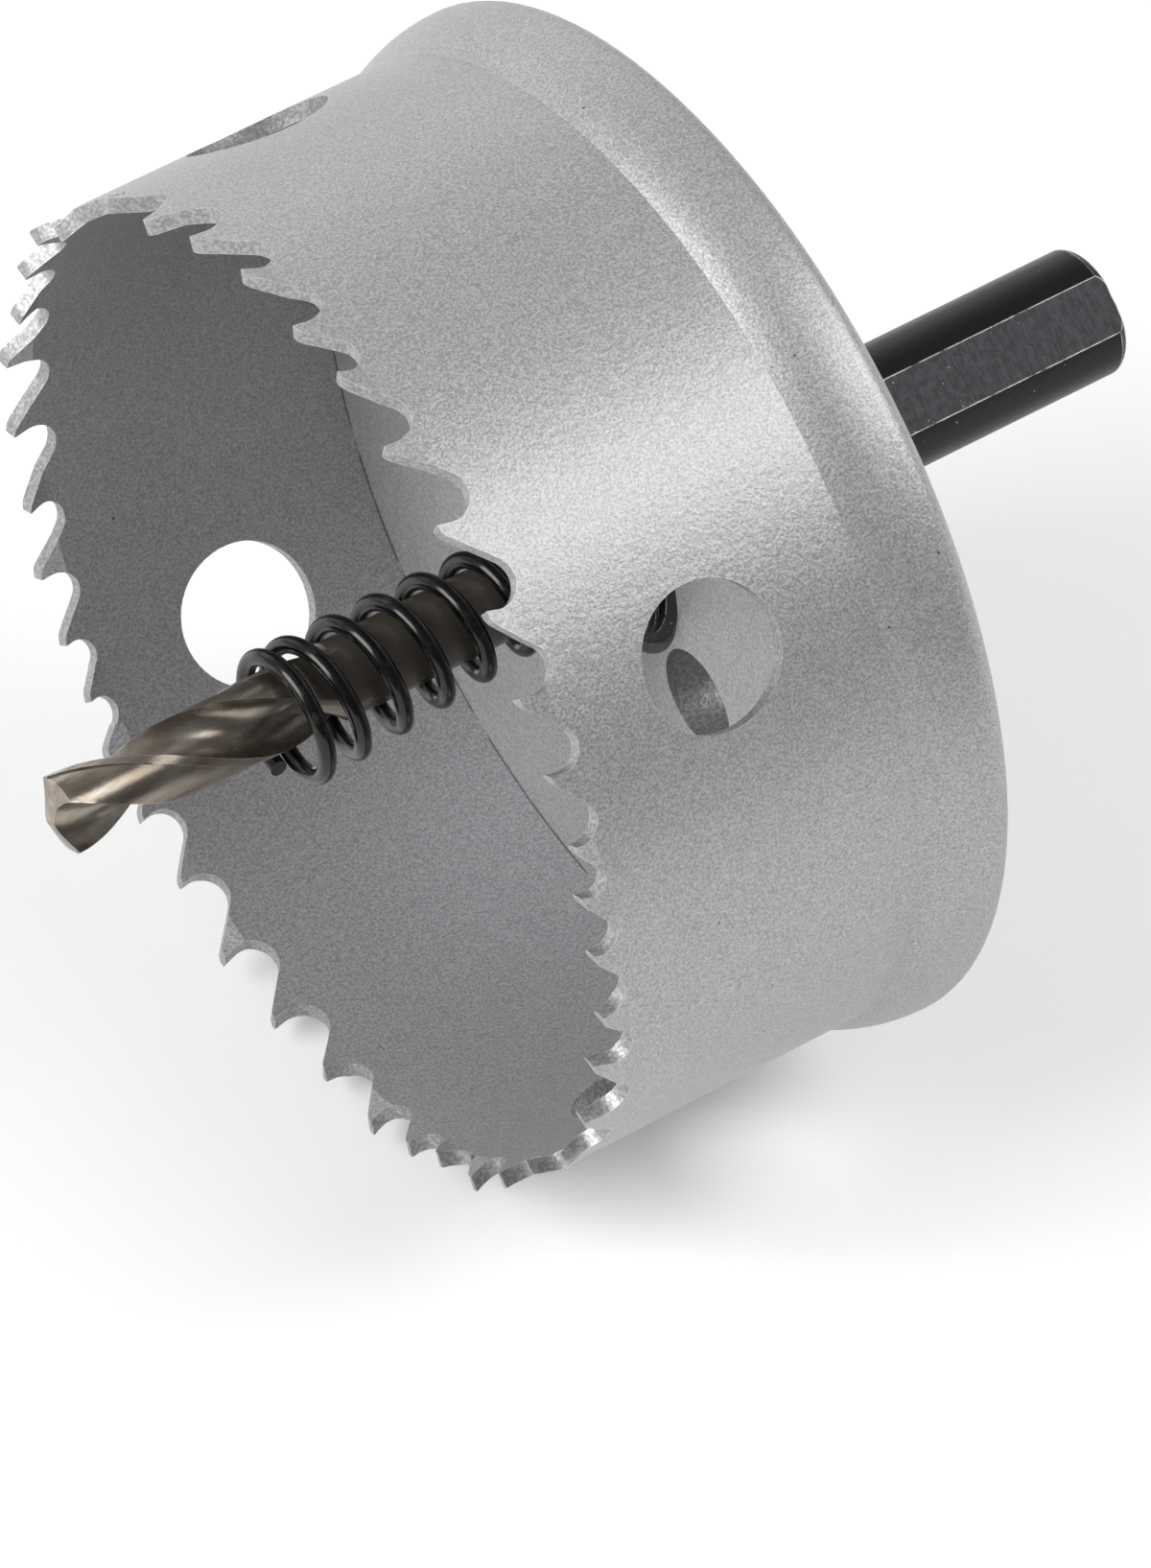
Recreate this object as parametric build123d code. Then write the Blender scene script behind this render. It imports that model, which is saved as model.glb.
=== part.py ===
from build123d import *
import os
from math import acos, atan2, cos, degrees, pi, radians, sin, sqrt, tan

# Hole saw with its arbor, pilot drill and ejector spring, in millimetres.
# +X runs along the tool's axis from the teeth to the shank, and +Z is up as the saw lies on its side.
# The origin is on the axis where the shank leaves the arbor's hexagon.
# An angle round the axis is counted from +Z towards -Y, which is a right-hand turn about +X.

# Saw band: a rolled and welded strip with a toothed edge
band_diameter = 76.8
band_wall = 1.2
cup_depth = 27.35
side_hole_diameter = 11.0
side_hole_count = 4
side_hole_spacing = 59.0
side_hole_to_tips = 14.45
side_hole_start = 53.0

# Teeth: the pitches repeat along the strip and close up at the weld
tooth_pitches = (5.46, 6.11, 6.94, 6.85, 6.43, 5.90, 5.40, 4.52, 4.71)
tooth_start = 0.5
tooth_land = 0.7
tooth_back_radius = 1.5
tooth_relief_angle = 41.5
tooth_rake_angle = 12.0
gullet_radius_per_pitch = 0.28
tooth_set = 0.55
tooth_set_height = 1.9
tooth_set_order = (0, 1, -1)

# Base cap: the thick end disc with the bulged rim
cap_thickness = 8.0
cap_rim_diameter = 80.2
cap_rim_crest = 5.5
cap_back_round = 4.1
cap_crest_radius = 1.8
cap_bore_diameter = 16.0
cap_bore_chamfer = 0.6
drive_hole_diameter = 8.0
drive_hole_circle = 25.8
drive_hole_count = 2
drive_hole_start = 118.8

# Arbor: nose, hexagon and shank, turned and milled from one bar
nose_diameter = 15.9
nose_stand_out = 5.6
nose_chamfer = 0.5
nose_thread_depth = 0.8
hexagon_across_flats = 19.0
hexagon_length = 12.0
hexagon_chamfer = 1.0
hexagon_turn = 58.8
shank_diameter = 10.0
shank_length = 22.8
shank_end_chamfer = 0.55
shank_end_chamfer_depth = 0.35
shank_end_crown = 0.04
shank_fillet = 0.5
shank_flat_count = 3
shank_flat_depth = 0.54
shank_flat_length = 19.8
shank_flat_turn = 41.3
drill_bore_clearance = 0.02
drill_bore_depth = 21.0

# Pilot drill
drill_diameter = 6.0
drill_reach = 20.95
drill_point_angle = 135.0
drill_flute_length = 24.2
drill_flute_lead = 36.0
drill_flute_radius = 2.55
drill_flute_run_out = 5.5
drill_web = 1.1
drill_margin = 0.75
drill_land_clearance = 0.14
drill_lip_turn = 127.8
drill_end_gap = 1.0

# Set screw that clamps the drill
screw_diameter = 5.0
screw_socket_across_flats = 2.5
screw_socket_depth = 2.4
screw_recess = 0.3
screw_to_shoulder = 6.0
screw_turn = 58.8
screw_clearance = 0.05
screw_seat_gap = 0.02

# Ejector spring: a wire coil that narrows on to the drill at the nose
wire_diameter = 1.32
spring_pitch = 3.8
spring_closed_gap = 0.04
spring_free_radius = 4.86
spring_seat_radius = 3.74
spring_past_tips = 1.8
spring_lean = 0.9
spring_lean_turn = 128.0
spring_free_end_turn = 180.0
spring_seat_gap = 0.02
spring_steps_per_turn = 6

# Stations along the axis
cap_back_x = -hexagon_length
cap_front_x = cap_back_x - cap_thickness
tips_x = cap_front_x - cup_depth
nose_end_x = cap_front_x - nose_stand_out
drill_point_x = tips_x - drill_reach
band_radius = band_diameter / 2
drill_radius = drill_diameter / 2
drill_point_length = drill_radius / tan(radians(drill_point_angle / 2))
bore_end_x = nose_end_x + drill_bore_depth


def turned(points):
    """A solid of revolution about the tool's axis from (x, radius) points."""
    outline = [Vector(x, 0, radius) for x, radius in points]
    return revolve(make_face(Polyline(*outline, close=True)), axis=Axis.X)


def around(shape, angle):
    """The shape turned about the tool's axis."""
    return Rot(angle, 0, 0) * shape


def radial_cylinder(radius, x, inner, outer, angle):
    """A cylinder on a radial line of the tool, between two radii."""
    height = outer - inner
    post = Pos(x, 0, inner + height / 2) * Cylinder(radius, height)
    return around(post, angle)


def tooth_angles():
    """The angle of each tooth tip, with the pitches eased to close round the ring."""
    circumference = pi * band_diameter
    distances = [0.0]
    while distances[-1] < circumference:
        pitch = tooth_pitches[(len(distances) - 1) % len(tooth_pitches)]
        distances.append(distances[-1] + pitch)
    if distances[-1] - circumference > circumference - distances[-2]:
        distances.pop()
    ease = circumference / distances[-1]
    return [tooth_start + degrees(distance * ease / band_radius) for distance in distances]


def tooth_crown(start, end, lean):
    """The end of one tooth, leant out or in by its set, before its gullets are cut."""
    outer = band_radius
    inner = band_radius - band_wall
    root_x = tips_x + tooth_set_height
    offset = lean * tooth_set
    corners = [
        Vector(root_x, 0, inner),
        Vector(root_x, 0, outer),
        Vector(tips_x, 0, outer + offset),
        Vector(tips_x, 0, inner + offset),
    ]
    section = make_face(Polyline(*corners, close=True))
    return around(revolve(section, axis=Axis.X, revolution_arc=end - start), start)


def gullet(start, end):
    """The space between two tips: rounded back, straight relief, round floor and hooked rake face."""
    pitch = 2 * band_radius * sin(radians(end - start) / 2)
    relief = tan(radians(tooth_relief_angle))
    rake = tan(radians(tooth_rake_angle))
    back = pitch / 2 - tooth_land
    front = -pitch / 2
    floor = (back - front) * relief / (1 - relief * rake)
    above = tips_x - 2
    back_end = back + 1.05 * tooth_back_radius * tan(radians(tooth_relief_angle / 2))
    outline = Polyline(
        (above, back_end),
        (tips_x, back_end),
        (tips_x, back),
        (tips_x + floor, front - floor * rake),
        (tips_x, front),
        (above, front),
        close=True,
    )
    face = make_face(outline)
    lowest = face.vertices().sort_by(Axis.X)[-1]
    face = fillet(lowest, gullet_radius_per_pitch * pitch)
    shoulder = face.vertices().sort_by_distance((tips_x, back, 0))[0]
    face = fillet(shoulder, tooth_back_radius)
    cutter = Pos(0, 0, band_radius - 4) * extrude(face, amount=8)
    return around(cutter, (start + end) / 2)


def saw_band():
    """Rolled strip with set teeth and round side holes."""
    inner = band_radius - band_wall
    body = turned([
        (tips_x + tooth_set_height, inner),
        (cap_front_x, inner),
        (cap_front_x, band_radius),
        (tips_x + tooth_set_height, band_radius),
    ])
    tips = tooth_angles()
    middles = [(a + b) / 2 for a, b in zip(tips, tips[1:])]
    middles.insert(0, middles[-1] - 360)
    crowns = []
    for number, (start, end) in enumerate(zip(middles, middles[1:])):
        lean = tooth_set_order[number % len(tooth_set_order)]
        crowns.append(tooth_crown(start, end, lean))
    body += crowns
    body -= [gullet(a, b) for a, b in zip(tips, tips[1:])]
    spacing = degrees(side_hole_spacing / band_radius)
    for number in range(side_hole_count):
        angle = side_hole_start + number * spacing
        hole_x = tips_x + side_hole_to_tips
        body -= radial_cylinder(side_hole_diameter / 2, hole_x, inner - 5, band_radius + 5, angle)
    return body


def base_cap():
    """End disc: its rim swells past the band in an arc and rounds over to the flat back in two."""
    rim_radius = cap_rim_diameter / 2
    crest_x = cap_front_x + cap_rim_crest
    rise = rim_radius - band_radius
    swell_radius = (cap_rim_crest ** 2 + rise ** 2) / (2 * rise)
    swell_centre = Vector(crest_x, 0, rim_radius - swell_radius)
    half = atan2(cap_rim_crest, swell_radius - rise) / 2
    swell_middle = swell_centre + Vector(-swell_radius * sin(half), 0, swell_radius * cos(half))
    front = Vector(cap_front_x, 0, band_radius)
    crest = Vector(crest_x, 0, rim_radius)
    back_edge = Vector(cap_back_x, 0, rim_radius - cap_back_round)
    bore_radius = cap_bore_diameter / 2
    swell = ThreePointArc(front, swell_middle, crest)
    along = cap_back_x - crest_x - cap_crest_radius
    down = cap_back_round - cap_crest_radius
    turn = pi / 2 - 2 * atan2(along, down)
    spread = down / cos(turn)
    wide_radius = cap_crest_radius + spread
    crest_centre = crest - Vector(0, 0, cap_crest_radius)
    wide_centre = crest_centre - Vector(spread * sin(turn), 0, spread * cos(turn))
    crest_middle = crest_centre + Vector(sin(turn / 2), 0, cos(turn / 2)) * cap_crest_radius
    join = crest_centre + Vector(sin(turn), 0, cos(turn)) * cap_crest_radius
    half_turn = (turn + pi / 2) / 2
    wide_middle = wide_centre + Vector(sin(half_turn), 0, cos(half_turn)) * wide_radius
    tight = ThreePointArc(crest, crest_middle, join)
    wide = ThreePointArc(join, wide_middle, back_edge)
    rest = Polyline(
        back_edge,
        Vector(cap_back_x, 0, bore_radius + cap_bore_chamfer),
        Vector(cap_back_x - cap_bore_chamfer, 0, bore_radius),
        Vector(cap_front_x + cap_bore_chamfer, 0, bore_radius),
        Vector(cap_front_x, 0, bore_radius + cap_bore_chamfer),
        front,
    )
    disc = revolve(make_face([swell, tight, wide, rest]), axis=Axis.X)
    for number in range(drive_hole_count):
        angle = drive_hole_start + number * 360 / drive_hole_count
        post = Cylinder(drive_hole_diameter / 2, cap_thickness + 4)
        placed = Pos((cap_back_x + cap_front_x) / 2, 0, drive_hole_circle / 2) * Rot(0, 90, 0) * post
        disc -= around(placed, angle)
    return disc


def arbor():
    """Nose at its thread's root, chamfered hexagon and three-flat shank, bored for the drill."""
    nose_radius = nose_diameter / 2
    root_radius = nose_radius - nose_thread_depth
    shank_radius = shank_diameter / 2
    corner_radius = hexagon_across_flats / 2 / cos(radians(30))
    nose = turned([
        (nose_end_x, 0),
        (nose_end_x, root_radius - nose_chamfer),
        (nose_end_x + nose_chamfer, root_radius),
        (cap_front_x, root_radius),
        (cap_front_x + cap_bore_chamfer, nose_radius),
        (cap_back_x, nose_radius),
        (cap_back_x, 0),
    ])
    prism = extrude(Plane.YZ * RegularPolygon(corner_radius, 6), amount=-hexagon_length)
    slope = hexagon_chamfer / tan(radians(60))
    barrel = turned([
        (cap_back_x, 0),
        (cap_back_x, corner_radius - hexagon_chamfer),
        (cap_back_x + slope, corner_radius),
        (-slope, corner_radius),
        (0, corner_radius - hexagon_chamfer),
        (0, 0),
    ])
    hexagon = around(prism, hexagon_turn) & barrel
    chamfer_start = Vector(shank_length - shank_end_chamfer, 0, shank_radius)
    chamfer_end = Vector(shank_length, 0, shank_radius - shank_end_chamfer_depth)
    chord = chamfer_end - chamfer_start
    outward = Vector(-chord.Z, 0, chord.X).normalized()
    chamfer_middle = chamfer_start + chord * 0.5 + outward * shank_end_crown
    crowned = ThreePointArc(chamfer_start, chamfer_middle, chamfer_end)
    rest = Polyline(
        chamfer_end,
        Vector(shank_length, 0, 0),
        Vector(0, 0, 0),
        Vector(0, 0, shank_radius + shank_fillet),
        Vector(shank_fillet, 0, shank_radius),
        chamfer_start,
    )
    shank = revolve(make_face([crowned, rest]), axis=Axis.X)
    flat_width = 2 * sqrt(2 * shank_radius * shank_flat_depth) + 2
    for number in range(shank_flat_count):
        block = Box(shank_flat_length + 2, flat_width, 4)
        middle_x = shank_length - shank_flat_length + (shank_flat_length + 2) / 2
        placed = Pos(middle_x, 0, shank_radius - shank_flat_depth + 2) * block
        shank -= around(placed, shank_flat_turn + number * 360 / shank_flat_count)
    bar = nose + hexagon + shank
    bore_radius = drill_radius + drill_bore_clearance
    bore_tip = bore_radius / tan(radians(59))
    bar -= turned([
        (nose_end_x - 1, 0),
        (nose_end_x - 1, bore_radius),
        (bore_end_x, bore_radius),
        (bore_end_x + bore_tip, 0),
    ])
    screw_x = cap_back_x + screw_to_shoulder
    bar -= radial_cylinder(screw_diameter / 2 + screw_clearance, screw_x, 0, corner_radius + 1, screw_turn)
    return bar


def twisted(section, length):
    """A section of the drill carried back from its point and turned at the flutes' lead."""
    start_x = drill_point_x - 1
    frame = Plane(origin=(start_x, 0, 0), x_dir=(0, 0, 1), z_dir=(1, 0, 0))
    turn = drill_lip_turn - 360 * (1 + drill_point_length) / drill_flute_lead
    face = frame * (Rot(0, 0, turn) * section)
    return Solid.extrude_linear_with_rotation(
        face.faces()[0],
        center=(start_x, 0, 0),
        normal=(length + 1, 0, 0),
        angle=360 * (length + 1) / drill_flute_lead,
    )


def land_clearance(start, end):
    """Section of what is ground off behind a margin, between two angles from the lip."""
    inner = drill_radius - drill_land_clearance
    outer = drill_radius + 1
    middle = (start + end) / 2
    arc = [start, middle, end]
    low = [(inner * cos(radians(angle)), inner * sin(radians(angle))) for angle in arc]
    high = [(outer * cos(radians(angle)), outer * sin(radians(angle))) for angle in arc]
    sides = [
        ThreePointArc(*low),
        Line(low[2], high[2]),
        ThreePointArc(*high),
        Line(high[0], low[0]),
    ]
    return make_face(sides)


def run_out_core():
    """What the flutes leave standing where they run out, on the arc of the wheel that ground them."""
    end_x = drill_point_x + drill_flute_length
    start_x = end_x - drill_flute_run_out
    depth = drill_radius - drill_web / 2
    wheel = (drill_flute_run_out ** 2 + depth ** 2) / (2 * depth)
    centre_radius = drill_web / 2 + wheel
    half = atan2(drill_flute_run_out, wheel - depth) / 2
    middle = Vector(start_x + wheel * sin(half), 0, centre_radius - wheel * cos(half))
    arc = ThreePointArc(Vector(start_x, 0, drill_web / 2), middle, Vector(end_x, 0, drill_radius))
    rest = Polyline(
        Vector(end_x, 0, drill_radius),
        Vector(end_x, 0, drill_radius + 1),
        Vector(end_x + 2, 0, drill_radius + 1),
        Vector(end_x + 2, 0, 0),
        Vector(start_x, 0, 0),
        Vector(start_x, 0, drill_web / 2),
    )
    return revolve(make_face([arc, rest]), axis=Axis.X)


def pilot_drill():
    """Twist drill: coned point, two flutes with narrow margins, and a plain shank."""
    shank_end_x = bore_end_x - drill_end_gap
    bar = turned([
        (drill_point_x, 0),
        (drill_point_x + drill_point_length, drill_radius),
        (shank_end_x - 0.4, drill_radius),
        (shank_end_x, drill_radius - 0.4),
        (shank_end_x, 0),
    ])
    flute_offset = drill_web / 2 + drill_flute_radius
    reach = flute_offset ** 2 + drill_radius ** 2 - drill_flute_radius ** 2
    half = degrees(acos(reach / (2 * flute_offset * drill_radius)))
    margin = degrees(drill_margin / drill_radius)
    core = run_out_core()
    for side in (0, 180):
        ahead = radians(side - half)
        centre = (flute_offset * cos(ahead), flute_offset * sin(ahead))
        bar -= twisted(Pos(*centre) * Circle(drill_flute_radius), drill_flute_length) - core
    relieved = drill_flute_length - drill_flute_run_out / 2
    for side in (0, 180):
        behind = side + 180 - 2 * half
        bar -= twisted(land_clearance(side + margin, behind + 1), relieved)
    return bar


def set_screw():
    """Cup of a socket set screw, bearing on the drill and sunk in its flat of the hexagon."""
    seat = drill_radius + screw_seat_gap
    top = hexagon_across_flats / 2 - screw_recess
    screw_x = cap_back_x + screw_to_shoulder
    length = top - seat
    body = Cylinder(screw_diameter / 2, length)
    body = chamfer(body.edges().filter_by(GeomType.CIRCLE), 0.35)
    socket_radius = screw_socket_across_flats / 2 / cos(radians(30))
    socket = extrude(Pos(0, 0, length / 2) * RegularPolygon(socket_radius, 6), amount=-screw_socket_depth)
    placed = Pos(screw_x, 0, seat + length / 2) * (body - socket)
    return around(placed, screw_turn)


def spring_path():
    """Helix worked out turn by turn: a closed turn at each end, narrowing and centring to the nose."""
    last_x = nose_end_x - spring_seat_gap - wire_diameter / 2
    first_x = tips_x - spring_past_tips
    span = last_x - first_x
    closed_pitch = wire_diameter + spring_closed_gap
    open_turns = (span - 2 * closed_pitch) / spring_pitch
    turns = open_turns + 2
    steps = round(turns * spring_steps_per_turn)
    points = []
    for step in range(steps + 1):
        turn = turns * step / steps
        slow_turns = min(turn, 1) + max(turn - open_turns - 1, 0)
        x = first_x + closed_pitch * slow_turns + spring_pitch * (turn - slow_turns)
        share = (x - first_x) / span
        radius = spring_free_radius + (spring_seat_radius - spring_free_radius) * share
        lean = spring_lean * (1 - share)
        angle = radians(spring_free_end_turn + 360 * turn)
        lean_angle = radians(spring_lean_turn)
        y = -radius * sin(angle) - lean * sin(lean_angle)
        z = radius * cos(angle) + lean * cos(lean_angle)
        points.append(Vector(x, y, z))
    return Spline(*points)


def ejector_spring():
    """Round wire swept along the spring's path."""
    path = spring_path()
    start = Plane(origin=path @ 0, z_dir=path % 0)
    return sweep(start * Circle(wire_diameter / 2), path=path)


os.makedirs("parts", exist_ok=True)
pieces = {
    "saw_band": saw_band(),
    "base_cap": base_cap(),
    "arbor": arbor(),
    "pilot_drill": pilot_drill(),
    "drill_set_screw": set_screw(),
    "ejector_spring": ejector_spring(),
}
for name, piece in pieces.items():
    export_step(piece, f"parts/{name}.step")
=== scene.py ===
"""Looks for a hole saw: lacquered cup, blackened arbor and spring, ground pilot drill.

Run as a script inside Blender. The solids come from the packed CAD model. This file adds the
thread of the arbor's nose and every finish, and sets up a pale studio with the camera above the
tool. Lengths are in metres, and MM turns millimetres into them.
"""

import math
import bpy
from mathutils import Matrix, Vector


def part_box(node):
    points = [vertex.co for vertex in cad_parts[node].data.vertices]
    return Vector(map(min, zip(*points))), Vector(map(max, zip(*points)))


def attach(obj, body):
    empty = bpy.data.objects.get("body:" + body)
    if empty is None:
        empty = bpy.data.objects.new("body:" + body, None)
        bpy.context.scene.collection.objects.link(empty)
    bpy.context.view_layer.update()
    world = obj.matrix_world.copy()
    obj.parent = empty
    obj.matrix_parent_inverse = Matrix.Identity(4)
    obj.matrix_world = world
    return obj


bl_info = {
    "name": "Hole saw looks",
    "version": (1, 0, 0),
    "blender": (4, 5, 0),
    "location": "View3D > Sidebar > Hole saw",
    "description": "Finishes, thread and studio for a hole saw with its arbor and pilot drill",
    "category": "Object",
}

import bmesh
import bpy
import numpy as np
from bpy.props import FloatProperty, FloatVectorProperty, PointerProperty
from mathutils import Matrix, Vector

MM = 0.001
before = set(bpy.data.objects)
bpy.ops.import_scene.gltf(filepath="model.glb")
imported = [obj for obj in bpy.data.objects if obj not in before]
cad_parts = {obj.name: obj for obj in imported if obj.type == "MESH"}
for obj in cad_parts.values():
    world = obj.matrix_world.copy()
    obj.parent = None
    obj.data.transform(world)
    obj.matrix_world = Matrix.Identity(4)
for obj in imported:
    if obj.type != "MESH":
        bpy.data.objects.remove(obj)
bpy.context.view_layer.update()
band_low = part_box("saw_band")[0]
cap_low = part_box("base_cap")[0]
nose_end_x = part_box("arbor")[0].x
drill_tip_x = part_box("pilot_drill")[0].x
cap_front_x = cap_low.x
floor_z = min(band_low.z, cap_low.z)

# The round shank's radius, where the drill's flutes begin to run out, and a distance from the
# axis that is past the drive holes.
shank_radius = 5 * MM
flutes_end_x = drill_tip_x + 18.95 * MM
holes_reach = 20 * MM

# A value that is read as a mask goes from 0 to 1 in a smooth step.
SMOOTH = {"interpolation_type": "SMOOTHSTEP", "clamp": True}

# The camera's place in metres, and where the picture's right and lower sides point.
CAMERA_PLACE = Vector((-0.380385, -0.507703, 0.654527))
CAMERA_RIGHT = Vector((0.823703, -0.566932, 0.010038))
CAMERA_DOWN = Vector((-0.412623, -0.611459, -0.675174))

# Each lamp's name, place, width, height and the setting that holds its power.
LAMPS = (
    ("overhead", (0.58, -0.42, 0.76), 1.2, 0.5, "lamp"),
    ("teeth_side", (-0.80, 0.15, 0.55), 0.6, 0.6, "fill"),
    ("behind", (0.1, 1.0, 0.32), 1.4, 0.5, "window"),
)


def linear(code):
    """An sRGB hex colour as linear red, green and blue."""
    parts = [int(code[i:i + 2], 16) / 255 for i in (1, 3, 5)]
    return [c / 12.92 if c <= 0.04045 else ((c + 0.055) / 1.055) ** 2.4 for c in parts]


def rgba(colour):
    """A colour setting as the four numbers that a shader socket takes."""
    return (*colour, 1.0)


def colour_property(name, code, description):
    """A colour setting whose default is an sRGB hex colour."""
    return FloatVectorProperty(
        name=name,
        description=description,
        subtype="COLOR",
        size=3,
        min=0,
        max=1,
        default=linear(code),
    )


def share_property(name, value, description):
    """A setting between 0 and 1."""
    return FloatProperty(
        name=name, description=description, default=value, min=0, max=1, subtype="FACTOR"
    )


def size_property(name, millimetres, description):
    """A length setting, given in millimetres and kept in metres."""
    return FloatProperty(
        name=name,
        description=description,
        default=millimetres * MM,
        min=0,
        unit="LENGTH",
        precision=5,
    )


def power_property(name, watts, description):
    """A lamp's power setting."""
    return FloatProperty(name=name, description=description, default=watts, min=0, unit="POWER")


def strength_property(name, value, description):
    """A strength that may be more than 1."""
    return FloatProperty(name=name, description=description, default=value, min=0, subtype="NONE")


class LacquerSettings(bpy.types.PropertyGroup):
    """Silver flake lacquer on the cup"""

    colour: colour_property("Lacquer", "#bdbdbf", "Colour of the silver lacquer")
    shade: colour_property("Lacquer shade", "#949496", "Colour where the flakes lie on edge")
    dirt: colour_property("Dark speck", "#595959", "Colour of dust under the lacquer")
    glint: colour_property("Light speck", "#e5e5e5", "Colour of bright specks and hairlines")
    weld: colour_property("Weld line", "#262626", "Colour of the broken line inside, at the weld")
    roughness: share_property("Roughness", 0.43, "Roughness of the lacquer")
    metallic: share_property("Metallic", 0.55, "How far the flakes act as metal")
    grain: size_property("Grain", 0.15, "Width of one flake cluster")
    lumps: size_property("Lumps", 0.48, "Width of one lump of the blasted steel below")


class BareSteelSettings(bpy.types.PropertyGroup):
    """Punched and drilled steel of tooth faces and hole walls"""

    colour: colour_property("Cut steel", "#b0b0ae", "Bright part of a cut face")
    shade: colour_property("Cut steel shade", "#8e8e8d", "Dull patches of a cut face")
    # The burr colour, and the edge width below, draw a painted highlight: a bright line along the
    # cut edges, where burrs stand.
    burr_highlight: colour_property("Burr", "#dcdcda", "Colour of a burred edge")
    metallic: share_property("Metallic", 0.65, "How far a cut face acts as metal")
    mottle: size_property("Mottle", 0.22, "Width of a patch on a cut face")
    edge: size_property("Edge", 0.11, "Width of the bright burr along an edge")


class BlackOxideSettings(bpy.types.PropertyGroup):
    """Hot blackened steel of the arbor and the set screw"""

    colour: colour_property("Black oxide", "#161618", "Colour of the turned surfaces")
    flat_colour: colour_property("Ground flat", "#3d3d41", "Colour of the ground flats")
    flat_shade: colour_property("Ground flat shade", "#29292c", "Dark patches of the flats")
    worn: colour_property("Worn edge", "#d8d8d6", "Steel where the black has worn off")
    roughness: share_property("Roughness", 0.36, "Roughness of the black surface")
    metallic: share_property("Metallic", 0.55, "How far the black surface acts as metal")
    edge: size_property("Edge", 0.14, "Width of the worn line along an edge")
    thread_pitch: size_property("Thread pitch", 25.4 / 18, "Rise of the nose's thread in a turn")
    thread_crest: size_property("Thread crest radius", 7.94, "Radius of the thread's crest")
    thread_root: size_property("Thread root radius", 7.15, "Radius of the thread's root")


class DrillSteelSettings(bpy.types.PropertyGroup):
    """Ground high-speed steel of the pilot drill"""

    colour: colour_property("Ground steel", "#a8a196", "Bright part of the ground steel")
    shade: colour_property("Heat tint", "#84796d", "Brown part of the ground steel")
    shank: colour_property("Drill shank", "#6a645b", "Dull plain part behind the flutes")
    # The drill edge colour is a painted highlight: a bright line along the ground edges.
    edge_highlight: colour_property("Drill edge", "#e1e0db", "Bright line along a ground edge")
    roughness: share_property("Roughness", 0.24, "Roughness of the ground steel")
    metallic: share_property("Metallic", 0.92, "How far the ground steel acts as metal")
    shank_metallic: share_property("Shank metallic", 0.6, "How far the plain part acts as metal")
    edge: size_property("Edge", 0.12, "Width of the bright line along an edge")


class SpringSettings(bpy.types.PropertyGroup):
    """Black oiled wire of the ejector spring"""

    colour: colour_property("Wire", "#08080a", "Colour of the wire")
    dry: colour_property("Dry patch", "#353434", "Colour where the oil has gone")
    roughness: share_property("Roughness", 0.17, "Roughness of the wire")
    metallic: share_property("Metallic", 0.2, "How far the wire acts as metal")


class StudioSettings(bpy.types.PropertyGroup):
    """Floor, lamps, room and camera"""

    floor: colour_property("Floor", "#eaeaea", "Colour of the floor")
    glow: share_property("Floor glow", 0.15, "What the floor adds where it is seen")
    lamp: power_property("Main lamp", 7.8, "Power of the lamp overhead")
    fill: power_property("Fill lamp", 9.0, "Power of the lamp at the teeth's side")
    window: power_property("Back light", 1.2, "Power of the wide lamp behind")
    sky_front: strength_property("Room in front", 0.10, "Strength of the room's light in front")
    sky_back: strength_property("Room behind", 0.62, "Strength of the room's light behind")
    lens: FloatProperty(
        name="Lens",
        description="Focal length on a frame 36 mm high",
        default=287.4,
        min=1,
        subtype="DISTANCE_CAMERA",
    )


SETTINGS = {
    "saw_lacquer": LacquerSettings,
    "saw_bare_steel": BareSteelSettings,
    "saw_black_oxide": BlackOxideSettings,
    "saw_drill_steel": DrillSteelSettings,
    "saw_spring": SpringSettings,
    "saw_studio": StudioSettings,
}


def add(tree, kind, sockets=None, output=0, **settings):
    """Add one shader node and return one of its outputs.

    Settings are the node's own values. Sockets are its inputs: each is a link or a plain value.
    """
    node = tree.nodes.new(kind)
    for name, value in settings.items():
        setattr(node, name, value)
    for key, value in (sockets or {}).items():
        if isinstance(value, bpy.types.NodeSocket):
            tree.links.new(value, node.inputs[key])
        else:
            node.inputs[key].default_value = value
    return node.outputs[output] if len(node.outputs) else None


def new_material(name):
    """An empty material and its node tree."""
    material = bpy.data.materials.new(name)
    material.use_nodes = True
    material.node_tree.nodes.clear()
    return material, material.node_tree


def finish_material(tree, sockets):
    """Put one Principled shader with these sockets at the tree's end."""
    shader = add(tree, "ShaderNodeBsdfPrincipled", sockets)
    add(tree, "ShaderNodeOutputMaterial", {"Surface": shader})


def dress(node_name, material):
    """Give a CAD node its one material."""
    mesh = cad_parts[node_name].data
    mesh.materials.clear()
    mesh.materials.append(material)


def around_axis(tree):
    """Where a point is on the tool.

    This gives its place, its distance from the axis (radius), its place along the axis (x), and
    how far its face looks away from the axis (outward) and along it (along).
    """
    place = add(tree, "ShaderNodeTexCoord", output="Object")
    flat = add(tree, "ShaderNodeVectorMath", {0: place, 1: (0, 1, 1)}, operation="MULTIPLY")
    radial = add(tree, "ShaderNodeVectorMath", {0: flat}, operation="NORMALIZE")
    normal = add(tree, "ShaderNodeNewGeometry", output="True Normal")
    return {
        "place": place,
        "radius": add(tree, "ShaderNodeVectorMath", {0: flat}, "Value", operation="LENGTH"),
        "x": add(tree, "ShaderNodeSeparateXYZ", {0: place}, "X"),
        "outward": add(
            tree, "ShaderNodeVectorMath", {0: normal, 1: radial}, "Value", operation="DOT_PRODUCT"
        ),
        "along": add(tree, "ShaderNodeSeparateXYZ", {0: normal}, "X"),
    }


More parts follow.
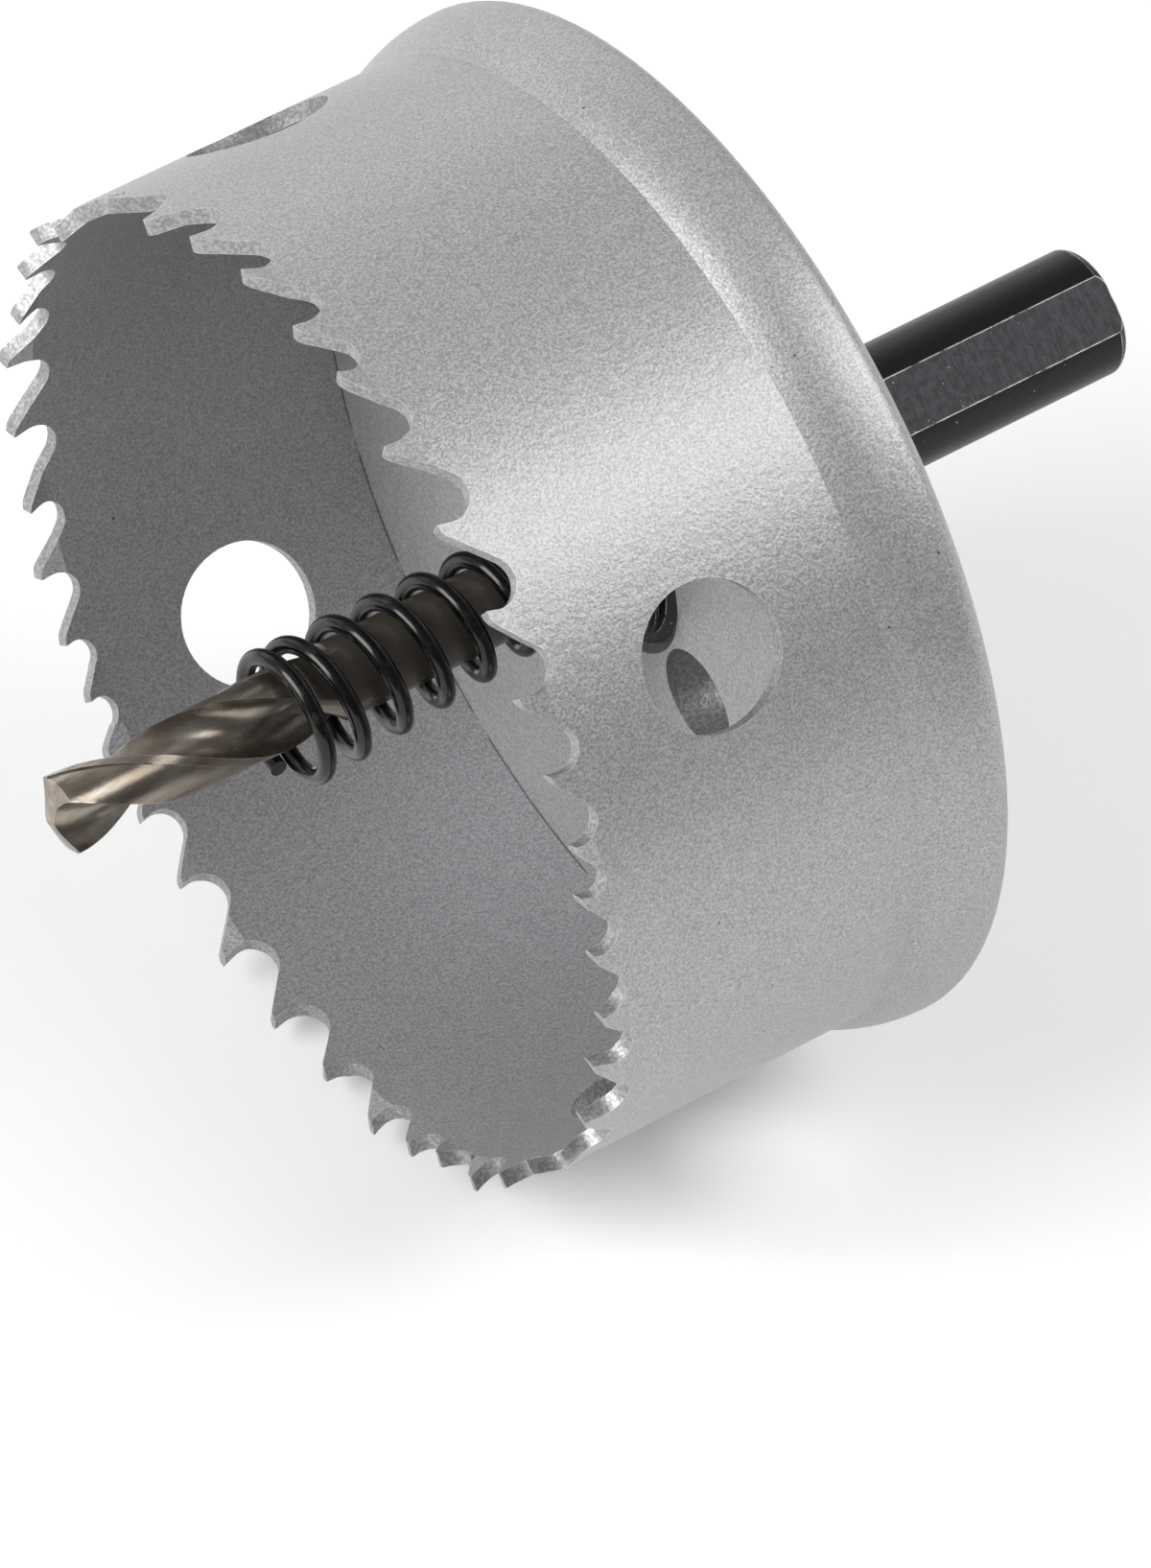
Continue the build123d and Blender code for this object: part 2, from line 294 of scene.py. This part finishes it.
def past(tree, *limits):
    """1 where every value is past its limit, and 0 where any is not.

    Each limit is a value, where it starts to count and where it counts in full. The second number
    may be the smaller one, for a value that has to be low.
    """
    mask = None
    for value, start, end in limits:
        sockets = {"Value": value, "From Min": start, "From Max": end}
        step = add(tree, "ShaderNodeMapRange", sockets, **SMOOTH)
        if mask is None:
            mask = step
        else:
            mask = add(tree, "ShaderNodeMath", {0: mask, 1: step}, operation="MULTIPLY")
    return mask


def layered(tree, colour, *layers):
    """Lay colours over a first one: each layer is a mask and the colour that it shows."""
    for mask, top in layers:
        sockets = {"Factor": mask, "A": colour, "B": top}
        colour = add(tree, "ShaderNodeMix", sockets, "Result", data_type="RGBA")
    return colour


def edge_bend(tree, width):
    """How far the surface turns within a width of a point: 0 on a flat, more at a sharp edge."""
    rounded = add(tree, "ShaderNodeBevel", {"Radius": width}, samples=4)
    true = add(tree, "ShaderNodeNewGeometry", output="True Normal")
    same = add(
        tree, "ShaderNodeVectorMath", {0: rounded, 1: true}, "Value", operation="DOT_PRODUCT"
    )
    return add(tree, "ShaderNodeMath", {0: 1.0, 1: same}, operation="SUBTRACT")


def grain_noise(tree, place, width, detail=2.0, stretch=(1, 1, 1)):
    """Noise with blobs about one width across, drawn out along the axes of a small stretch."""
    cells_per_blob = 0.8
    scaled = add(tree, "ShaderNodeVectorMath", {0: place, 1: stretch}, operation="MULTIPLY")
    sockets = {
        "Vector": scaled,
        "Scale": cells_per_blob / width,
        "Detail": detail,
        "Roughness": 0.55,
    }
    return add(tree, "ShaderNodeTexNoise", sockets)


def specks(tree, place, spacing, size, share):
    """Round dots of one size, in a share of the cells of a random pattern."""
    sockets = {"Vector": place, "Scale": 1 / spacing, "Randomness": 1.0}
    distance = add(tree, "ShaderNodeTexVoronoi", sockets, "Distance")
    cell_colour = distance.node.outputs["Color"]
    dot = past(tree, (distance, size / spacing, 0.4 * size / spacing))
    pick = add(tree, "ShaderNodeSeparateColor", {0: cell_colour})
    chosen = add(tree, "ShaderNodeMath", {0: pick, 1: 1 - share}, operation="GREATER_THAN")
    return add(tree, "ShaderNodeMath", {0: dot, 1: chosen}, operation="MULTIPLY")


def scratches(tree, place, turn, thickness, threshold):
    """Fine hairlines: noise stretched sixty times in a turned frame, with only its peaks kept."""
    sockets = {"Vector": place, "Rotation": turn, "Scale": (1.0, 0.016, 1.0)}
    turned = add(tree, "ShaderNodeMapping", sockets)
    noise = grain_noise(tree, turned, thickness, detail=1.0)
    return past(tree, (noise, threshold, threshold + 0.03))


def band_faces(tree, at):
    """Where the band is punched, where its edges carry a painted highlight and where its weld line
    shows.

    The wall looks straight out or in, and a tooth face or a hole's wall looks across. The edge
    behind is welded to the disc, has no burrs and gets no painted highlight. The weld line is a
    broken dark line inside.
    """
    facing = add(tree, "ShaderNodeMath", {0: at["outward"]}, operation="ABSOLUTE")
    broken = grain_noise(tree, at["place"], 2.2 * MM, detail=0.0)
    return {
        "cut": [(facing, 0.62, 0.42)],
        "burr_highlighted": [(at["x"], cap_front_x - 0.8 * MM, cap_front_x - 1.2 * MM)],
        "weld": [
            (at["x"], cap_front_x - 0.20 * MM, cap_front_x - 0.10 * MM),
            (at["outward"], -0.3, -0.6),
            (broken, 0.34, 0.50),
        ],
    }


def cap_faces(tree, at):
    """Where the disc is drilled and where its edges carry a painted highlight: only at the bore and
    the holes.
    """
    facing = add(tree, "ShaderNodeMath", {0: at["along"]}, operation="ABSOLUTE")
    near_holes = (at["radius"], holes_reach, holes_reach - 1 * MM)
    return {"cut": [(facing, 0.4, 0.2), near_holes], "burr_highlighted": [near_holes]}


def silver_lacquer_on_steel(name, faces):
    """Silver flake lacquer sprayed on blasted steel, with punched or drilled faces left bare.

    The flakes give a fine light and dark grain, and the blasted steel below gives soft lumps that
    break up the highlight. Cut faces are dull mottled steel, and their sharp edges carry a painted
    highlight along the burrs. Real flakes are under 0.05 mm wide: their grain is drawn coarser
    than that, so that it shows.
    """
    coat = bpy.context.scene.saw_lacquer
    bare = bpy.context.scene.saw_bare_steel
    material, tree = new_material(name)
    at = around_axis(tree)
    place = at["place"]
    limits = faces(tree, at)

    flakes = grain_noise(tree, place, coat.grain)
    dark_specks = specks(tree, place, spacing=4.5 * MM, size=0.17 * MM, share=0.35)
    light_specks = specks(tree, place, spacing=6.0 * MM, size=0.2 * MM, share=0.3)
    hairlines = scratches(
        tree, place, turn=(0.3, 0.5, 1.1), thickness=0.35 * MM, threshold=0.82
    )
    bright = add(tree, "ShaderNodeMath", {0: light_specks, 1: hairlines}, operation="MAXIMUM")
    bright = add(tree, "ShaderNodeMath", {0: bright, 1: 0.6}, operation="MULTIPLY")
    coat_colour = layered(
        tree,
        rgba(coat.shade),
        (past(tree, (flakes, 0.30, 0.72)), rgba(coat.colour)),
        (dark_specks, rgba(coat.dirt)),
        (bright, rgba(coat.glint)),
    )

    mottle = past(tree, (grain_noise(tree, place, bare.mottle), 0.38, 0.66))
    cut_colour = layered(tree, rgba(bare.shade), (mottle, rgba(bare.colour)))
    cut = past(tree, *limits["cut"])
    broken = grain_noise(tree, place, 0.5 * MM, detail=1.0)
    # Painted highlight: a bright line along the sharp edges of the cut faces, broken in places,
    # where burrs stand.
    bend = edge_bend(tree, bare.edge)
    burr_highlight = past(tree, (bend, 0.02, 0.14), *limits["burr_highlighted"], (broken, 0.35, 0.55))
    colour = layered(tree, coat_colour, (cut, cut_colour), (burr_highlight, rgba(bare.burr_highlight)))
    if "weld" in limits:
        line = past(tree, *limits["weld"])
        line = add(tree, "ShaderNodeMath", {0: line, 1: 0.6}, operation="MULTIPLY")
        colour = layered(tree, colour, (line, rgba(coat.weld)))

    lumps = grain_noise(tree, place, coat.lumps, detail=1.0)
    height = add(tree, "ShaderNodeMath", {0: lumps, 1: 1.3, 2: flakes}, operation="MULTIPLY_ADD")
    sockets = {"Strength": 0.55, "Distance": 0.045 * MM, "Height": height}
    bump = add(tree, "ShaderNodeBump", sockets)
    sockets = {"Value": cut, "To Min": coat.metallic, "To Max": bare.metallic}
    metallic = add(tree, "ShaderNodeMapRange", sockets)
    sockets = {"Value": flakes, "To Min": coat.roughness - 0.1, "To Max": coat.roughness + 0.1}
    roughness = add(tree, "ShaderNodeMapRange", sockets)
    finish_material(
        tree,
        {"Base Color": colour, "Metallic": metallic, "Roughness": roughness, "Normal": bump},
    )
    return material


def black_oxide_steel(name):
    """Turned steel bar, hot blackened: near-black with fine turning lines.

    The ground flats are lighter and blue-grey, with fine lines across them, and every sharp edge
    has rubbed through to bright steel. Turning and grinding lines are drawn about 0.1 mm wide,
    twice as coarse as real ones, so that they show.
    """
    black = bpy.context.scene.saw_black_oxide
    material, tree = new_material(name)
    at = around_axis(tree)
    place = at["place"]

    # A flat lies behind the hexagon, inside the round shank's radius, and doesn't look along x.
    facing = add(tree, "ShaderNodeMath", {0: at["along"]}, operation="ABSOLUTE")
    flat = past(
        tree,
        (at["x"], 0.4 * MM, 0.6 * MM),
        (at["radius"], shank_radius - 0.01 * MM, shank_radius - 0.025 * MM),
        (facing, 0.3, 0.1),
    )
    grinding = grain_noise(tree, place, 0.09 * MM, stretch=(1.0, 0.08, 0.08))
    turning = grain_noise(tree, place, 0.10 * MM, stretch=(1.0, 0.05, 0.05))
    clouds = grain_noise(tree, place, 0.5 * MM, detail=5.0)
    sockets = {"Factor": 0.5, "A": clouds, "B": grinding}
    patches = add(tree, "ShaderNodeMix", sockets, "Result", data_type="FLOAT")
    flat_colour = layered(
        tree,
        rgba(black.flat_shade),
        (past(tree, (patches, 0.38, 0.62)), rgba(black.flat_colour)),
    )

    one_way = scratches(tree, place, turn=(0.9, 0.4, 0.2), thickness=0.25 * MM, threshold=0.76)
    other_way = scratches(tree, place, turn=(0.1, 1.2, 0.9), thickness=0.2 * MM, threshold=0.78)
    hairlines = add(tree, "ShaderNodeMath", {0: one_way, 1: other_way}, operation="MAXIMUM")
    hairlines = add(tree, "ShaderNodeMath", {0: hairlines, 1: 0.45}, operation="MULTIPLY")
    broken = grain_noise(tree, place, 0.7 * MM, detail=3.0)
    edges = past(tree, (edge_bend(tree, black.edge), 0.004, 0.02), (broken, 0.26, 0.55))
    worn = add(tree, "ShaderNodeMath", {0: edges, 1: hairlines}, operation="MAXIMUM")
    colour = layered(tree, rgba(black.colour), (flat, flat_colour), (worn, rgba(black.worn)))

    sockets = {"Factor": flat, "A": turning, "B": grinding}
    height = add(tree, "ShaderNodeMix", sockets, "Result", data_type="FLOAT")
    sockets = {"Strength": 0.25, "Distance": 0.02 * MM, "Height": height}
    bump = add(tree, "ShaderNodeBump", sockets)
    sockets = {"Value": worn, "To Min": black.metallic, "To Max": 1.0}
    metallic = add(tree, "ShaderNodeMapRange", sockets)
    sockets = {"Value": flat, "To Min": black.roughness, "To Max": black.roughness + 0.1}
    roughness = add(tree, "ShaderNodeMapRange", sockets)
    finish_material(
        tree,
        {"Base Color": colour, "Metallic": metallic, "Roughness": roughness, "Normal": bump},
    )
    return material


def ground_high_speed_steel(name):
    """High-speed steel ground to shape: warm grey metal with faint streaks along the flutes.

    The grinding heat leaves a brown tint in patches, and the plain part behind the flutes is
    duller. A bright line along the ground edges is a painted highlight. Streaks are drawn 0.12 mm
    wide, coarser than a grinding wheel's, so that they show.
    """
    steel = bpy.context.scene.saw_drill_steel
    material, tree = new_material(name)
    at = around_axis(tree)
    place = at["place"]
    streaks = grain_noise(tree, place, 0.12 * MM, detail=3.0, stretch=(0.12, 1.0, 1.0))
    tint = grain_noise(tree, place, 1.2 * MM, detail=3.0, stretch=(0.3, 1.0, 1.0))
    plain = past(tree, (at["x"], flutes_end_x, flutes_end_x + 5 * MM))
    broken = grain_noise(tree, place, 0.6 * MM, detail=1.0)
    # Painted highlight: a bright line along the ground edges, broken in places and mixed in at 0.7.
    edges = past(tree, (edge_bend(tree, steel.edge), 0.02, 0.14), (broken, 0.3, 0.6))
    edges = add(tree, "ShaderNodeMath", {0: edges, 1: 0.7}, operation="MULTIPLY")
    colour = layered(
        tree,
        rgba(steel.shade),
        (past(tree, (tint, 0.34, 0.66)), rgba(steel.colour)),
        (plain, rgba(steel.shank)),
        (edges, rgba(steel.edge_highlight)),
    )

    sockets = {"Strength": 0.05, "Distance": 0.02 * MM, "Height": streaks}
    bump = add(tree, "ShaderNodeBump", sockets)
    sockets = {
        "Value": streaks,
        "To Min": steel.roughness - 0.03,
        "To Max": steel.roughness + 0.06,
    }
    roughness = add(tree, "ShaderNodeMapRange", sockets)
    sockets = {"Value": plain, "To Min": steel.metallic, "To Max": steel.shank_metallic}
    metallic = add(tree, "ShaderNodeMapRange", sockets)
    finish_material(
        tree,
        {"Base Color": colour, "Metallic": metallic, "Roughness": roughness, "Normal": bump},
    )
    return material


def black_spring_wire(name):
    """Drawn spring wire, blackened and oiled: smooth and glossy, with faint drawing lines.

    Drawing lines are drawn 0.12 mm wide, coarser than real ones, so that they show.
    """
    wire = bpy.context.scene.saw_spring
    material, tree = new_material(name)
    place = add(tree, "ShaderNodeTexCoord", output="Object")
    patches = grain_noise(tree, place, 0.8 * MM, detail=3.0)
    lines = grain_noise(tree, place, 0.12 * MM, stretch=(1.0, 0.3, 0.3))
    dry = past(tree, (patches, 0.55, 0.8))
    colour = layered(tree, rgba(wire.colour), (dry, rgba(wire.dry)))
    sockets = {"Strength": 0.12, "Distance": 0.02 * MM, "Height": lines}
    bump = add(tree, "ShaderNodeBump", sockets)
    sockets = {
        "Value": patches,
        "To Min": wire.roughness - 0.06,
        "To Max": wire.roughness + 0.12,
    }
    roughness = add(tree, "ShaderNodeMapRange", sockets)
    finish_material(
        tree,
        {"Base Color": colour, "Metallic": wire.metallic, "Roughness": roughness, "Normal": bump},
    )
    return material


class SAW_OT_cup(bpy.types.Operator):
    """Lacquer the toothed band and the end disc, and leave their cut faces bare"""

    bl_idname = "hole_saw.cup"
    bl_label = "Cup"

    def execute(self, context):
        lacquered_strip = "Silver flake lacquer on punched steel strip"
        lacquered_disc = "Silver flake lacquer on blasted steel disc"
        dress("saw_band", silver_lacquer_on_steel(lacquered_strip, band_faces))
        dress("base_cap", silver_lacquer_on_steel(lacquered_disc, cap_faces))
        return {"FINISHED"}


def thread_ridge(root, crest, pitch, start_x, end_x):
    """A thread's ridge: a flat-topped V carried along a helix, sunk back to the root at both ends.

    At a turn t the ridge's middle is at x = start + pitch * t, and a profile point at (offset along
    x, height h) lies at radius root + h * fade, where the fade rises over half a turn at each end.
    """
    steps_per_turn = 48
    # The profile, in shares of the pitch and of the thread's height. Its last two points lie
    # under the root, inside the nose.
    profile_along = np.array([-0.47, -0.08, 0.08, 0.47, 0.30, -0.30])
    profile_rise = np.array([0, 1, 1, 0, -0.25, -0.25])

    turns = (end_x - start_x) / pitch
    steps = int(turns * steps_per_turn)
    turn = np.linspace(0, turns, steps)[:, None]
    fade = np.clip(np.minimum(turn, turns - turn) / 0.5, 0, 1)
    rise = profile_rise[None, :] * (crest - root)
    radius = root + np.where(rise > 0, rise * fade, rise)
    x = start_x + pitch * (turn + profile_along[None, :])
    angle = 2 * math.pi * turn
    points = np.stack([x, -radius * np.sin(angle), radius * np.cos(angle)], -1).reshape(-1, 3)

    width = len(profile_along)
    row = np.arange(steps - 1)[:, None] * width
    column = np.arange(width)[None, :]
    beside = (column + 1) % width
    corners = [row + column, row + beside, row + beside + width, row + column + width]
    faces = np.stack(corners, -1).reshape(-1, 4).tolist()
    faces.append(list(range(width))[::-1])
    faces.append(list(range((steps - 1) * width, steps * width)))
    return points, faces


def outward_mesh(name, points, faces):
    """A mesh object at the origin whose faces all point outward."""
    mesh = bpy.data.meshes.new(name)
    mesh.from_pydata(points.tolist(), [], faces)
    mesh.update()
    piece = bpy.data.objects.new(name, mesh)
    bpy.context.scene.collection.objects.link(piece)
    cage = bmesh.new()
    cage.from_mesh(mesh)
    bmesh.ops.recalc_face_normals(cage, faces=cage.faces)
    cage.to_mesh(mesh)
    cage.free()
    return piece


class SAW_OT_arbor(bpy.types.Operator):
    """Blacken the arbor and its set screw, and cut the thread on the arbor's nose"""

    bl_idname = "hole_saw.arbor"
    bl_label = "Arbor and set screw"

    def execute(self, context):
        black = context.scene.saw_black_oxide
        steel = black_oxide_steel("Hot blackened turned steel")
        dress("arbor", steel)
        dress("drill_set_screw", black_oxide_steel("Hot blackened set screw steel"))
        points, faces = thread_ridge(
            black.thread_root,
            black.thread_crest,
            black.thread_pitch,
            start_x=nose_end_x + 1.5 * MM,
            end_x=cap_front_x - 0.7 * MM,
        )
        thread = outward_mesh("nose_thread", points, faces)
        thread.data.materials.append(steel)
        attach(thread, "root")
        return {"FINISHED"}


class SAW_OT_pilot_drill(bpy.types.Operator):
    """Finish the pilot drill as ground high-speed steel"""

    bl_idname = "hole_saw.pilot_drill"
    bl_label = "Pilot drill"

    def execute(self, context):
        dress("pilot_drill", ground_high_speed_steel("Ground high-speed steel"))
        return {"FINISHED"}


class SAW_OT_spring(bpy.types.Operator):
    """Blacken the ejector spring's wire"""

    bl_idname = "hole_saw.spring"
    bl_label = "Ejector spring"

    def execute(self, context):
        dress("ejector_spring", black_spring_wire("Blackened oiled spring wire"))
        return {"FINISHED"}


def studio_floor(settings):
    """A wide pale paper floor that keeps the tool's shadow.

    Where the camera sees it, straight or in a reflection, it glows a little, so that it turns
    white where nothing shades it.
    """
    half = 0.5
    mesh = bpy.data.meshes.new("studio_floor")
    corners = [
        (-half, -half, floor_z),
        (half, -half, floor_z),
        (half, half, floor_z),
        (-half, half, floor_z),
    ]
    mesh.from_pydata(corners, [], [(0, 1, 2, 3)])
    floor = bpy.data.objects.new("studio_floor", mesh)
    bpy.context.scene.collection.objects.link(floor)
    material, tree = new_material("White matt paper floor")
    camera_ray = add(tree, "ShaderNodeLightPath", output="Is Camera Ray")
    rays = camera_ray.node.outputs
    sockets = {0: camera_ray, 1: rays["Is Glossy Ray"]}
    seen = add(tree, "ShaderNodeMath", sockets, operation="MAXIMUM")
    sockets = {0: seen, 1: rays["Is Transmission Ray"]}
    seen = add(tree, "ShaderNodeMath", sockets, operation="MAXIMUM")
    glow = add(tree, "ShaderNodeMath", {0: seen, 1: settings.glow}, operation="MULTIPLY")
    finish_material(
        tree,
        {
            "Base Color": rgba(settings.floor),
            "Roughness": 1.0,
            "Specular IOR Level": 0.0,
            "Emission Color": (1, 1, 1, 1),
            "Emission Strength": glow,
        },
    )
    mesh.materials.append(material)


def room_light(settings):
    """A plain room that is lighter behind the tool, and white where the camera sees it."""
    world = bpy.data.worlds.new("Plain white room")
    bpy.context.scene.world = world
    world.use_nodes = True
    tree = world.node_tree
    tree.nodes.clear()
    camera_ray = add(tree, "ShaderNodeLightPath", output="Is Camera Ray")
    sockets = {0: camera_ray, 1: camera_ray.node.outputs["Is Transmission Ray"]}
    seen = add(tree, "ShaderNodeMath", sockets, operation="MAXIMUM")
    toward = add(tree, "ShaderNodeTexCoord", output="Generated")
    behind = add(tree, "ShaderNodeSeparateXYZ", {0: toward}, "Y")
    sockets = {
        "Value": behind,
        "From Min": -1.0,
        "From Max": 1.0,
        "To Min": settings.sky_front,
        "To Max": settings.sky_back,
    }
    soft = add(tree, "ShaderNodeMapRange", sockets)
    sockets = {"Factor": seen, "A": soft, "B": 1.0}
    strength = add(tree, "ShaderNodeMix", sockets, "Result", data_type="FLOAT")
    sockets = {"Color": (1, 1, 1, 1), "Strength": strength}
    background = add(tree, "ShaderNodeBackground", sockets)
    add(tree, "ShaderNodeOutputWorld", {"Surface": background})


def soft_lamp(name, place, width, height, power):
    """A rectangular lamp that looks at the cup.

    Its width runs along the tool's axis, or across it where the lamp stands at the tool's end.
    """
    data = bpy.data.lights.new(name, "AREA")
    data.shape = "RECTANGLE"
    data.size = width
    data.size_y = height
    data.energy = power
    lamp = bpy.data.objects.new(name, data)
    place = Vector(place)
    cup_middle = Vector((-0.03, 0, 0))
    back = (place - cup_middle).normalized()
    stands_at_the_end = abs(back.x) > 0.7
    side = Vector((0, 1, 0)) if stands_at_the_end else Vector((1, 0, 0))
    side = (side - back * side.dot(back)).normalized()
    turn = Matrix((side, back.cross(side), back)).transposed().to_4x4()
    lamp.matrix_world = Matrix.Translation(place) @ turn
    bpy.context.scene.collection.objects.link(lamp)


def photo_camera(settings):
    """The camera: in front of the teeth, to the left and about 47 degrees above the floor."""
    data = bpy.data.cameras.new("camera")
    data.sensor_fit = "VERTICAL"
    data.sensor_height = 36.0
    data.lens = settings.lens
    data.clip_start = 0.05
    data.clip_end = 20
    camera = bpy.data.objects.new("camera", data)
    ahead = CAMERA_RIGHT.cross(CAMERA_DOWN)
    turn = Matrix((CAMERA_RIGHT, -CAMERA_DOWN, -ahead)).transposed().to_4x4()
    camera.matrix_world = Matrix.Translation(CAMERA_PLACE) @ turn
    bpy.context.scene.collection.objects.link(camera)
    bpy.context.scene.camera = camera


class SAW_OT_studio(bpy.types.Operator):
    """Lay the floor, light it softly from overhead and set the camera"""

    bl_idname = "hole_saw.studio"
    bl_label = "Studio"

    def execute(self, context):
        settings = context.scene.saw_studio
        context.scene.view_settings.view_transform = "Standard"
        studio_floor(settings)
        room_light(settings)
        for name, place, width, height, power in LAMPS:
            soft_lamp(name, place, width, height, getattr(settings, power))
        photo_camera(settings)
        return {"FINISHED"}


OPERATORS = (SAW_OT_cup, SAW_OT_arbor, SAW_OT_pilot_drill, SAW_OT_spring, SAW_OT_studio)


class SAW_PT_panel(bpy.types.Panel):
    """The hole saw's pieces and settings"""

    bl_idname = "SAW_PT_panel"
    bl_label = "Hole saw"
    bl_space_type = "VIEW_3D"
    bl_region_type = "UI"
    bl_category = "Hole saw"

    def draw(self, context):
        for operator in OPERATORS:
            self.layout.operator(operator.bl_idname)
        for name, group in SETTINGS.items():
            box = self.layout.box()
            box.label(text=group.__doc__)
            for key in group.__annotations__:
                box.prop(getattr(context.scene, name), key)


def register():
    """Register the settings, the operators and the panel."""
    for name, group in SETTINGS.items():
        bpy.utils.register_class(group)
        setattr(bpy.types.Scene, name, PointerProperty(type=group))
    for operator in OPERATORS:
        bpy.utils.register_class(operator)
    bpy.utils.register_class(SAW_PT_panel)


def unregister():
    """Take the panel, the operators and the settings away again."""
    bpy.utils.unregister_class(SAW_PT_panel)
    for operator in reversed(OPERATORS):
        bpy.utils.unregister_class(operator)
    for name, group in reversed(list(SETTINGS.items())):
        delattr(bpy.types.Scene, name)
        bpy.utils.unregister_class(group)


def main():
    """Dress the whole tool and set up the studio."""
    register()
    bpy.ops.hole_saw.cup()
    bpy.ops.hole_saw.arbor()
    bpy.ops.hole_saw.pilot_drill()
    bpy.ops.hole_saw.spring()
    bpy.ops.hole_saw.studio()


if __name__ == "__main__":
    main()
